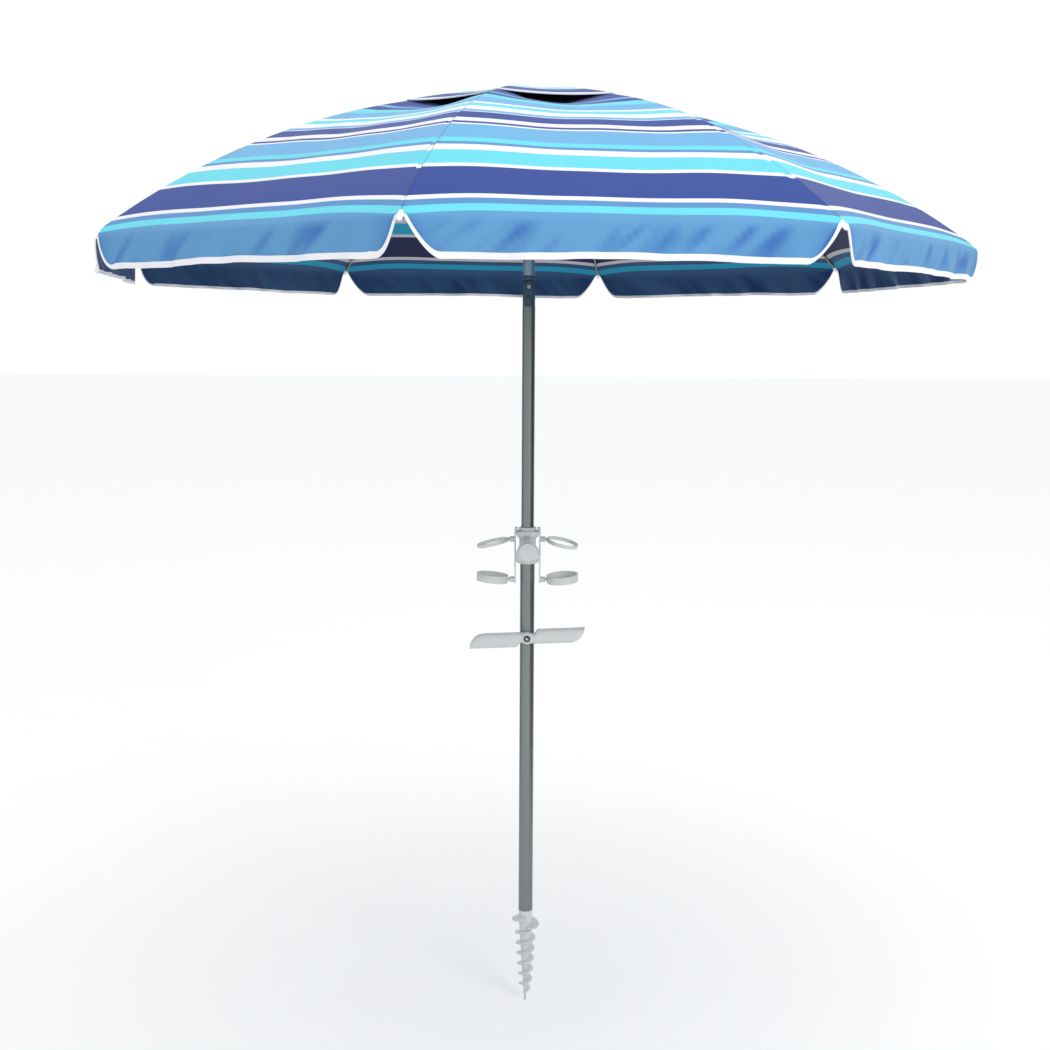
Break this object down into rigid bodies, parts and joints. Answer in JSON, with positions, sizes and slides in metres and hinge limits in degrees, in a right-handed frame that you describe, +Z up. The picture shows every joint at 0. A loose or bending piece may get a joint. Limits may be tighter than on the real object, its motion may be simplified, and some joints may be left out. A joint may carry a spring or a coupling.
{
  "type": "beach umbrella",
  "caption": "Tilting beach umbrella with a striped vented canopy and valance, a telescoping pole with a clamp and cup rings, a turning handle and a screw-in sand anchor.",
  "frame": {"origin": "tip of the sand anchor, on the pole axis", "axes": "+Z up along the pole, -Y towards the front, where the clamp knob and the handle screw are"},
  "size_m": [1.8104, 1.8104, 2.0553],
  "materials": {
    "grey_plastic": "moulded, satin",
    "white_plastic": "moulded, semi-gloss",
    "dark_plastic": "moulded, satin",
    "joint_plastic": "moulded, satin",
    "pole_coat": "grey powder coat",
    "rib_steel": "grey painted wire",
    "steel": "zinc plated",
    "black_rubber": "matt",
    "cloth": "woven polyester, striped"
  },
  "bodies": {
    "lower_mast": {"sand_anchor": "grey_plastic", "anchor_flight": "grey_plastic", "anchor_tip": "steel", "lower_pole": "pole_coat", "clamp_body": "grey_plastic", "hanger_strip_left": "grey_plastic", "hanger_strip_right": "grey_plastic", "handle_screw": "steel", "handle_washer": "black_rubber"},
    "handle": {"handle": "grey_plastic"},
    "clamp_knob": {"clamp_knob": "grey_plastic", "clamp_screw": "steel"},
    "cup_ring_upper_left": {"cup_ring_upper_left": "grey_plastic"},
    "cup_ring_upper_right": {"cup_ring_upper_right": "grey_plastic"},
    "cup_ring_lower_left": {"cup_ring_lower_left": "grey_plastic"},
    "cup_ring_lower_right": {"cup_ring_lower_right": "grey_plastic"},
    "upper_mast": {"upper_pole": "pole_coat", "tilt_lower_housing": "joint_plastic", "tilt_rivet": "steel"},
    "tilt_button": {"tilt_button": "joint_plastic"},
    "tilt_head": {"tilt_upper_housing": "joint_plastic", "top_pole": "pole_coat", "crown_hub": "dark_plastic", "crown_wire": "steel", "finial": "white_plastic"},
    "runner": {"runner": "dark_plastic"},
    "runner_catch": {"runner_catch": "joint_plastic"},
    "rib_1": {"rib_1": "rib_steel", "canopy_gore_1": "cloth", "tip_cap_1": "white_plastic"},
    "strut_1": {"strut_1": "rib_steel"},
    "rib_2": {"rib_2": "rib_steel", "canopy_gore_2": "cloth", "tip_cap_2": "white_plastic"},
    "strut_2": {"strut_2": "rib_steel"},
    "rib_3": {"rib_3": "rib_steel", "canopy_gore_3": "cloth", "tip_cap_3": "white_plastic"},
    "strut_3": {"strut_3": "rib_steel"},
    "rib_4": {"rib_4": "rib_steel", "canopy_gore_4": "cloth", "tip_cap_4": "white_plastic"},
    "strut_4": {"strut_4": "rib_steel"},
    "rib_5": {"rib_5": "rib_steel", "canopy_gore_5": "cloth", "tip_cap_5": "white_plastic"},
    "strut_5": {"strut_5": "rib_steel"},
    "rib_6": {"rib_6": "rib_steel", "canopy_gore_6": "cloth", "tip_cap_6": "white_plastic"},
    "strut_6": {"strut_6": "rib_steel"},
    "rib_7": {"rib_7": "rib_steel", "canopy_gore_7": "cloth", "tip_cap_7": "white_plastic"},
    "strut_7": {"strut_7": "rib_steel"},
    "rib_8": {"rib_8": "rib_steel", "canopy_gore_8": "cloth", "tip_cap_8": "white_plastic"},
    "strut_8": {"strut_8": "rib_steel"}
  },
  "joints": [
    {"name": "handle_turn", "type": "hinge", "parent": "lower_mast", "child": "handle", "pos_m": [0, 0, 0.859], "axis": [0, 1, 0], "range_deg": [-92.3, 0]},
    {"name": "clamp_turn", "type": "hinge", "parent": "lower_mast", "child": "clamp_knob", "pos_m": [0, 0, 1.056], "axis": [0, -1, 0], "continuous": true},
    {"name": "cup_ring_upper_left_swivel", "type": "hinge", "parent": "lower_mast", "child": "cup_ring_upper_left", "pos_m": [-0.04, 0, 1.077], "axis": [1, 0, 0], "range_deg": [-90, 90]},
    {"name": "cup_ring_lower_left_swivel", "type": "hinge", "parent": "lower_mast", "child": "cup_ring_lower_left", "pos_m": [-0.04, 0, 0.987], "axis": [1, 0, 0], "range_deg": [-90, 90]},
    {"name": "cup_ring_upper_right_swivel", "type": "hinge", "parent": "lower_mast", "child": "cup_ring_upper_right", "pos_m": [0.04, 0, 1.077], "axis": [1, 0, 0], "range_deg": [-90, 90]},
    {"name": "cup_ring_lower_right_swivel", "type": "hinge", "parent": "lower_mast", "child": "cup_ring_lower_right", "pos_m": [0.04, 0, 0.987], "axis": [1, 0, 0], "range_deg": [-90, 90]},
    {"name": "mast_telescope", "type": "slide", "parent": "lower_mast", "child": "upper_mast", "axis": [0, 0, 1], "range_m": [-0.05, 0.08]},
    {"name": "tilt_button_press", "type": "slide", "parent": "upper_mast", "child": "tilt_button", "axis": [0, 1, 0], "range_m": [0, 0.003], "stiffness_N_per_m": 500},
    {"name": "head_tilt", "type": "hinge", "parent": "upper_mast", "child": "tilt_head", "pos_m": [0, 0, 1.625], "axis": [0, 1, 0], "range_deg": [-30, 0]},
    {"name": "rib_1_fold", "type": "hinge", "parent": "tilt_head", "child": "rib_1", "pos_m": [-0.00551, -0.02541, 2.012], "axis": [0.9773, -0.212, 0], "range_deg": [0, 64.1], "deforming": ["canopy_gore_1"]},
    {"name": "rib_2_fold", "type": "hinge", "parent": "tilt_head", "child": "rib_2", "pos_m": [0.01407, -0.02186, 2.012], "axis": [0.8409, 0.5411, 0], "range_deg": [0, 64.1], "deforming": ["canopy_gore_2"]},
    {"name": "rib_3_fold", "type": "hinge", "parent": "tilt_head", "child": "rib_3", "pos_m": [0.02541, -0.00551, 2.012], "axis": [0.212, 0.9773, 0], "range_deg": [0, 64.1], "deforming": ["canopy_gore_3"]},
    {"name": "rib_4_fold", "type": "hinge", "parent": "tilt_head", "child": "rib_4", "pos_m": [0.02186, 0.01407, 2.012], "axis": [-0.5411, 0.8409, 0], "range_deg": [0, 64.1], "deforming": ["canopy_gore_4"]},
    {"name": "rib_5_fold", "type": "hinge", "parent": "tilt_head", "child": "rib_5", "pos_m": [0.00551, 0.02541, 2.012], "axis": [-0.9773, 0.212, 0], "range_deg": [0, 64.1], "deforming": ["canopy_gore_5"]},
    {"name": "rib_6_fold", "type": "hinge", "parent": "tilt_head", "child": "rib_6", "pos_m": [-0.01407, 0.02186, 2.012], "axis": [-0.8409, -0.5411, 0], "range_deg": [0, 64.1], "deforming": ["canopy_gore_6"]},
    {"name": "rib_7_fold", "type": "hinge", "parent": "tilt_head", "child": "rib_7", "pos_m": [-0.02541, 0.00551, 2.012], "axis": [-0.212, -0.9773, 0], "range_deg": [0, 64.1], "deforming": ["canopy_gore_7"]},
    {"name": "rib_8_fold", "type": "hinge", "parent": "tilt_head", "child": "rib_8", "pos_m": [-0.02186, -0.01407, 2.012], "axis": [0.5411, -0.8409, 0], "range_deg": [0, 64.1], "deforming": ["canopy_gore_8"]},
    {"name": "runner_slide", "type": "slide", "parent": "tilt_head", "child": "runner", "axis": [0, 0, -1], "range_m": [0, 0.6412]},
    {"name": "runner_catch_press", "type": "slide", "parent": "runner", "child": "runner_catch", "axis": [-0.1781, 0.984, 0], "range_m": [0, 0.002], "stiffness_N_per_m": 500},
    {"name": "strut_1_fold", "type": "hinge", "parent": "rib_1", "child": "strut_1", "pos_m": [-0.09116, -0.42023, 1.93551], "axis": [0.9773, -0.212, 0], "range_deg": [-128.3, 0]},
    {"name": "strut_2_fold", "type": "hinge", "parent": "rib_2", "child": "strut_2", "pos_m": [0.23268, -0.36161, 1.93551], "axis": [0.8409, 0.5411, 0], "range_deg": [-128.3, 0]},
    {"name": "strut_3_fold", "type": "hinge", "parent": "rib_3", "child": "strut_3", "pos_m": [0.42023, -0.09116, 1.93551], "axis": [0.212, 0.9773, 0], "range_deg": [-128.3, 0]},
    {"name": "strut_4_fold", "type": "hinge", "parent": "rib_4", "child": "strut_4", "pos_m": [0.36161, 0.23268, 1.93551], "axis": [-0.5411, 0.8409, 0], "range_deg": [-128.3, 0]},
    {"name": "strut_5_fold", "type": "hinge", "parent": "rib_5", "child": "strut_5", "pos_m": [0.09116, 0.42023, 1.93551], "axis": [-0.9773, 0.212, 0], "range_deg": [-128.3, 0]},
    {"name": "strut_6_fold", "type": "hinge", "parent": "rib_6", "child": "strut_6", "pos_m": [-0.23268, 0.36161, 1.93551], "axis": [-0.8409, -0.5411, 0], "range_deg": [-128.3, 0]},
    {"name": "strut_7_fold", "type": "hinge", "parent": "rib_7", "child": "strut_7", "pos_m": [-0.42023, 0.09116, 1.93551], "axis": [-0.212, -0.9773, 0], "range_deg": [-128.3, 0]},
    {"name": "strut_8_fold", "type": "hinge", "parent": "rib_8", "child": "strut_8", "pos_m": [-0.36161, -0.23268, 1.93551], "axis": [0.5411, -0.8409, 0], "range_deg": [-128.3, 0]}
  ],
  "couplings": [
    {"joint": "rib_2_fold", "follows": "rib_1_fold", "ratio": 1},
    {"joint": "rib_3_fold", "follows": "rib_1_fold", "ratio": 1},
    {"joint": "rib_4_fold", "follows": "rib_1_fold", "ratio": 1},
    {"joint": "rib_5_fold", "follows": "rib_1_fold", "ratio": 1},
    {"joint": "rib_6_fold", "follows": "rib_1_fold", "ratio": 1},
    {"joint": "rib_7_fold", "follows": "rib_1_fold", "ratio": 1},
    {"joint": "rib_8_fold", "follows": "rib_1_fold", "ratio": 1},
    {"joint": "strut_1_fold", "follows": "rib_1_fold", "ratio": -2},
    {"joint": "strut_2_fold", "follows": "rib_1_fold", "ratio": -2},
    {"joint": "strut_3_fold", "follows": "rib_1_fold", "ratio": -2},
    {"joint": "strut_4_fold", "follows": "rib_1_fold", "ratio": -2},
    {"joint": "strut_5_fold", "follows": "rib_1_fold", "ratio": -2},
    {"joint": "strut_6_fold", "follows": "rib_1_fold", "ratio": -2},
    {"joint": "strut_7_fold", "follows": "rib_1_fold", "ratio": -2},
    {"joint": "strut_8_fold", "follows": "rib_1_fold", "ratio": -2},
    {"joint": "runner_slide", "follows": "rib_1_fold", "m_per_rad": 0.57267}
  ]
}
